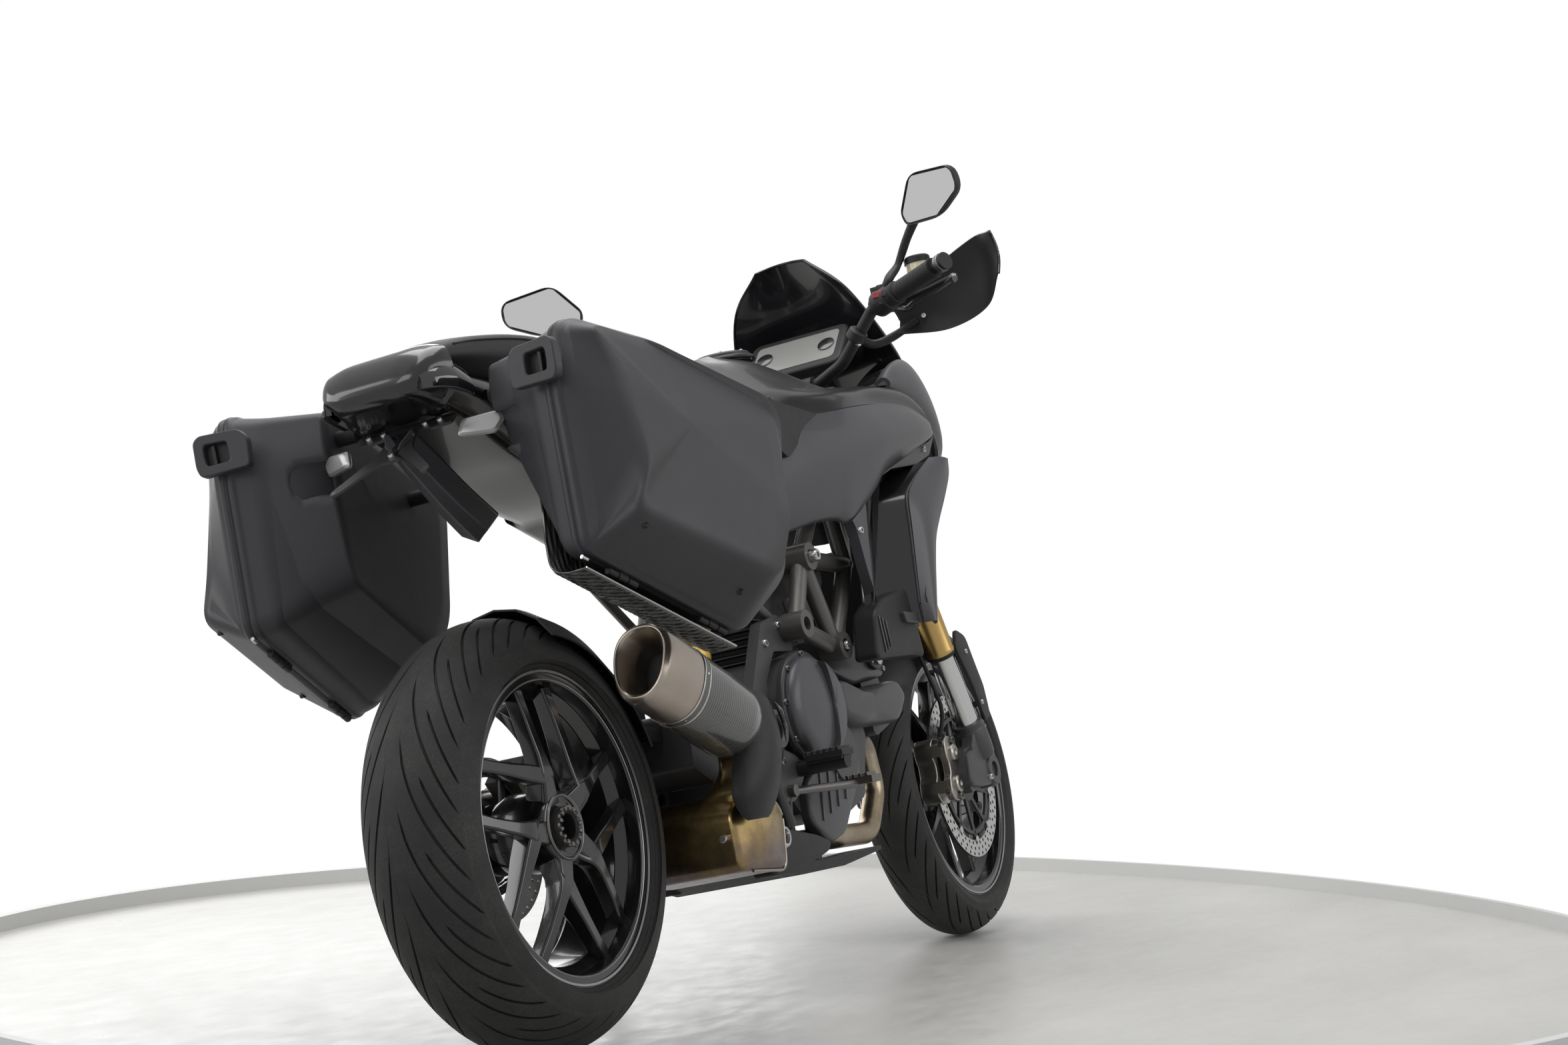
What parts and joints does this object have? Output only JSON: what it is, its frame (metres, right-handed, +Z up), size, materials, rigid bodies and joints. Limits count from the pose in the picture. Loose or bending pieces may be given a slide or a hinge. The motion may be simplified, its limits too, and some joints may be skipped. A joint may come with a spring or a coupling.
{
  "type": "adventure touring motorcycle",
  "caption": "Adventure touring motorcycle parked on its side stand, with hard cases, single-sided swingarm, upside-down fork, hand guards and tall screen.",
  "frame": {"origin": "on the floor, at the middle of the parked machine's bounding box", "axes": "+X forward along the machine, +Y to the rider's left, +Z up from the floor it stands on"},
  "size_m": [2.1497, 1.0457, 1.4264],
  "materials": {
    "tyre_rubber": "matt",
    "wheel_black": "gloss",
    "disc_steel": "brushed",
    "chain_steel": "oiled",
    "frame_grey": "satin",
    "cast_grey": "satin",
    "engine_grey": "cast satin",
    "radiator_black": "matt",
    "shock_gold": "satin",
    "exhaust_steel": "heat tinted",
    "titanium": "brushed",
    "carbon_black": "woven",
    "satin_black": "satin",
    "body_grey": "satin",
    "cap_black": "satin",
    "smoked_screen": "gloss",
    "lamp_lens": "gloss",
    "smoked_lens": "gloss",
    "seat_vinyl": "fine grain",
    "tail_black": "satin",
    "case_plastic": "fine texture",
    "fork_gold": "anodised",
    "fork_chrome": "polished",
    "grip_rubber": "matt",
    "mirror_silver": "polished",
    "caliper_nickel": "satin",
    "stand_black": "satin"
  },
  "bodies": {
    "chassis": {"trellis_frame": "frame_grey", "side_plates": "cast_grey", "engine": "engine_grey", "radiator": "radiator_black", "swingarm": "cast_grey", "shock_absorber": "shock_gold", "drive_chain": "chain_steel", "exhaust_box": "exhaust_steel", "header_pipes": "exhaust_steel", "muffler": "carbon_black", "muffler_end_cap": "titanium", "muffler_guard": "satin_black", "fuel_tank": "body_grey", "fuel_cap": "cap_black", "side_fairing_right": "body_grey", "side_fairing_left": "body_grey", "nose_fairing": "body_grey", "windscreen": "smoked_screen", "headlamps": "lamp_lens", "instrument": "satin_black", "belly_pan": "satin_black", "rider_seat": "seat_vinyl", "passenger_seat": "seat_vinyl", "tail_fairing": "tail_black", "tail_lamps": "smoked_lens", "rear_subframe": "cast_grey", "plate_bracket": "cast_grey", "rear_hugger": "satin_black", "rider_pegs": "satin_black", "foot_controls": "satin_black", "rear_caliper": "caliper_nickel", "case_carriers": "cast_grey", "heat_shield": "carbon_black", "case_body_right": "case_plastic", "case_body_left": "case_plastic"},
    "fork": {"fork_outer_tubes": "fork_gold", "fork_inner_tubes": "fork_chrome", "fork_feet": "cast_grey", "fork_yokes": "cast_grey", "handlebar": "satin_black", "grips": "grip_rubber", "bar_controls": "satin_black", "hand_guards": "satin_black", "mirrors": "satin_black", "mirror_glass": "mirror_silver", "front_mudguard": "satin_black", "front_calipers": "caliper_nickel", "brake_hoses": "satin_black"},
    "front_wheel": {"front_tyre": "tyre_rubber", "front_rim": "wheel_black", "front_discs": "disc_steel"},
    "rear_wheel": {"rear_tyre": "tyre_rubber", "rear_rim": "wheel_black", "rear_disc": "disc_steel", "rear_sprocket": "chain_steel"},
    "side_stand": {"side_stand": "stand_black"},
    "right_lid": {"case_lid_right": "case_plastic"},
    "left_lid": {"case_lid_left": "case_plastic"}
  },
  "joints": [
    {"name": "steering", "type": "hinge", "parent": "chassis", "child": "fork", "pos_m": [0.885, -0.2116, 0.00208], "axis": [-0.4226, 0.1878, 0.8866], "range_deg": [-35.4, 30.6]},
    {"name": "front_wheel_spin", "type": "hinge", "parent": "fork", "child": "front_wheel", "pos_m": [0.77498, -0.14832, 0.29533], "axis": [-0.038, 0.9738, -0.2244], "continuous": true},
    {"name": "rear_wheel_spin", "type": "hinge", "parent": "chassis", "child": "rear_wheel", "pos_m": [-0.755, -0.14529, 0.31514], "axis": [0, 0.9783, -0.2072], "continuous": true},
    {"name": "side_stand_fold", "type": "hinge", "parent": "chassis", "child": "side_stand", "pos_m": [-0.14, -0.01056, 0.22731], "axis": [-0.066, 0.8853, 0.4603], "range_deg": [0, 84]},
    {"name": "right_case_lid", "type": "hinge", "parent": "chassis", "child": "right_lid", "pos_m": [-0.92162, -0.35128, 0.7148], "axis": [0.9029, -0.2495, -0.3499], "range_deg": [0, 75]},
    {"name": "left_case_lid", "type": "hinge", "parent": "chassis", "child": "left_lid", "pos_m": [-0.92162, 0.20506, 0.59695], "axis": [-0.9029, -0.0862, 0.421], "range_deg": [0, 75]}
  ]
}
